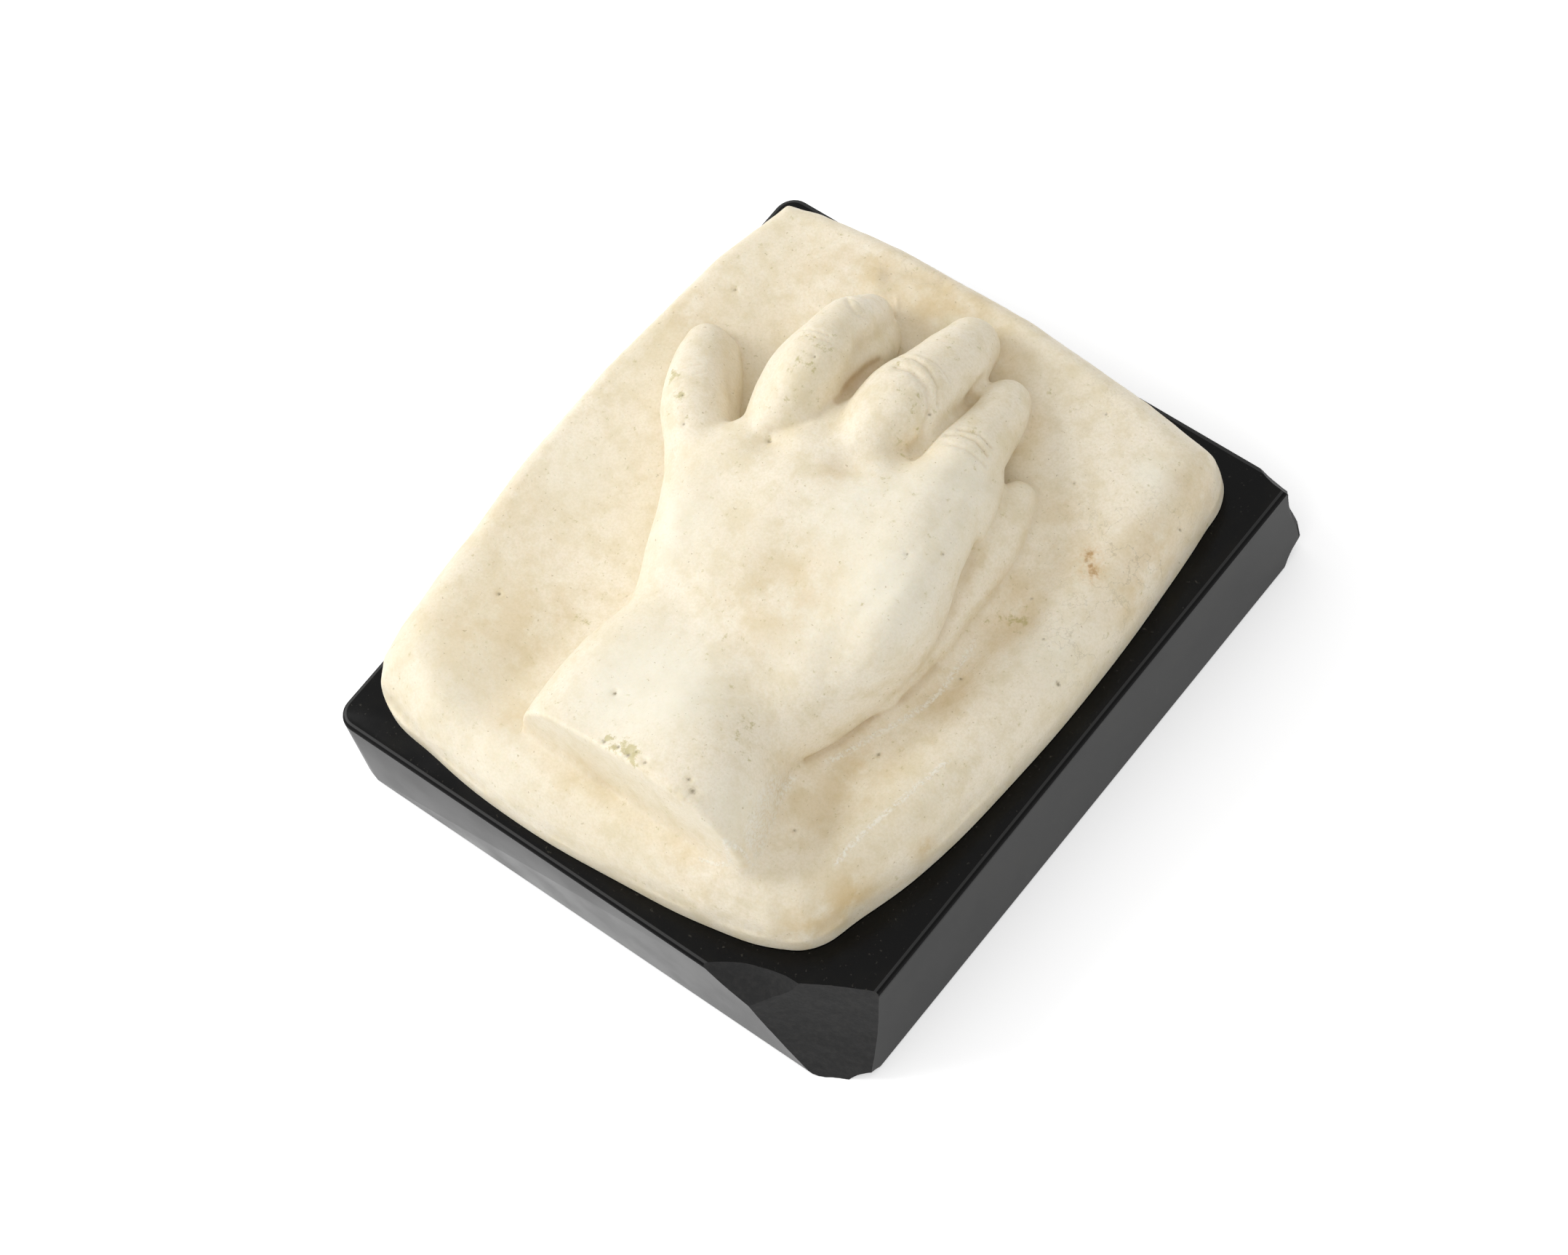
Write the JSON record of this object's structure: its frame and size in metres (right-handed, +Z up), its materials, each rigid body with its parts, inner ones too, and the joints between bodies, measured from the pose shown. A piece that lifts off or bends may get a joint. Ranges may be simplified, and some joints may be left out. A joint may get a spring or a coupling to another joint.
{
  "type": "carved stone hand on a plinth",
  "caption": "Small child's hand carved in white marble, resting palm down on a cushion, pinned to a chipped black stone plinth.",
  "frame": {"origin": "centre of the plinth's flat underside", "axes": "+Z up, +Y towards the fingertips, +X towards the thumb's side"},
  "size_m": [0.134, 0.152, 0.0648],
  "materials": {
    "black_stone": "polished, worn",
    "plaster": "matt, set plaster",
    "white_marble": "honed, worn",
    "dowel_brass": "drawn rod"
  },
  "bodies": {
    "root": {"plinth": "black_stone", "plaster_bed": "plaster", "marble_carving": "white_marble", "dowel_front": "dowel_brass", "dowel_rear": "dowel_brass"}
  },
  "joints": []
}
